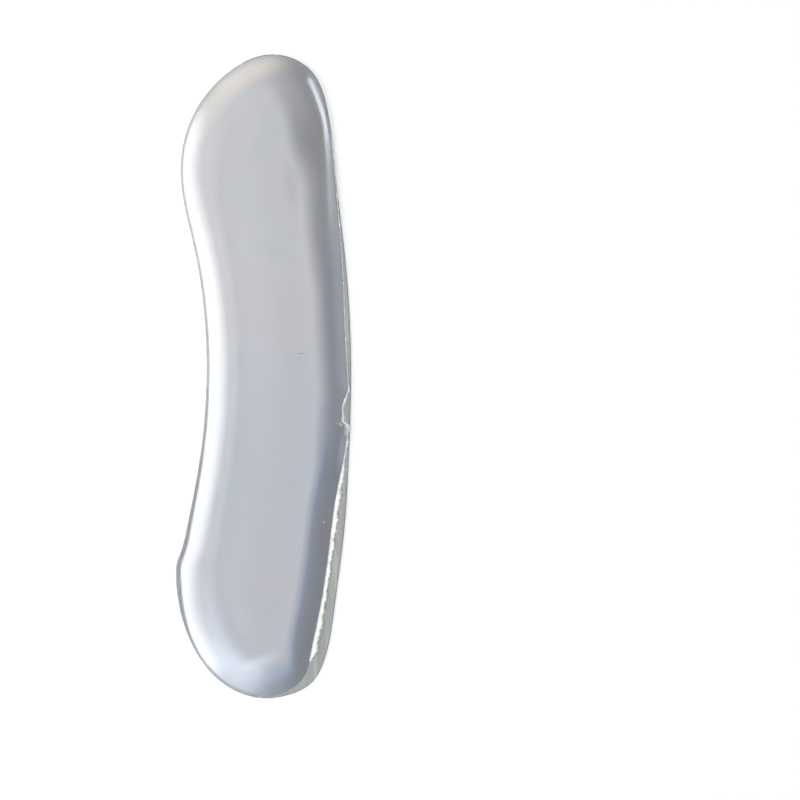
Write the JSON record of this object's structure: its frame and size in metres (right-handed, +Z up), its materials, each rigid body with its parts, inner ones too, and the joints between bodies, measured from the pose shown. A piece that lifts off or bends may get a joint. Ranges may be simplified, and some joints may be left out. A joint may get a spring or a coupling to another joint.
{
  "type": "gel heel protector",
  "caption": "Clear self-adhesive gel heel liner pad with a hollow waist, rounded lobes, soft shoulders and a thin film rim.",
  "frame": {"origin": "middle of the part's box in X and Y, at the underside of the backing film, which is the face that sticks or rests", "axes": "+Y along the pad towards its upper lobe, +X towards the straighter side and away from the hollow waist, +Z up through the thickness, out of the cushioned face"},
  "size_m": [0.0258, 0.0948, 0.0037],
  "materials": {
    "clear_gel": "clear glossy soft gel, faintly blue-grey",
    "clear_film": "thin clear die-cut film with a grey rim"
  },
  "bodies": {
    "root": {"gel_pad": "clear_gel", "backing_film": "clear_film"}
  },
  "joints": []
}
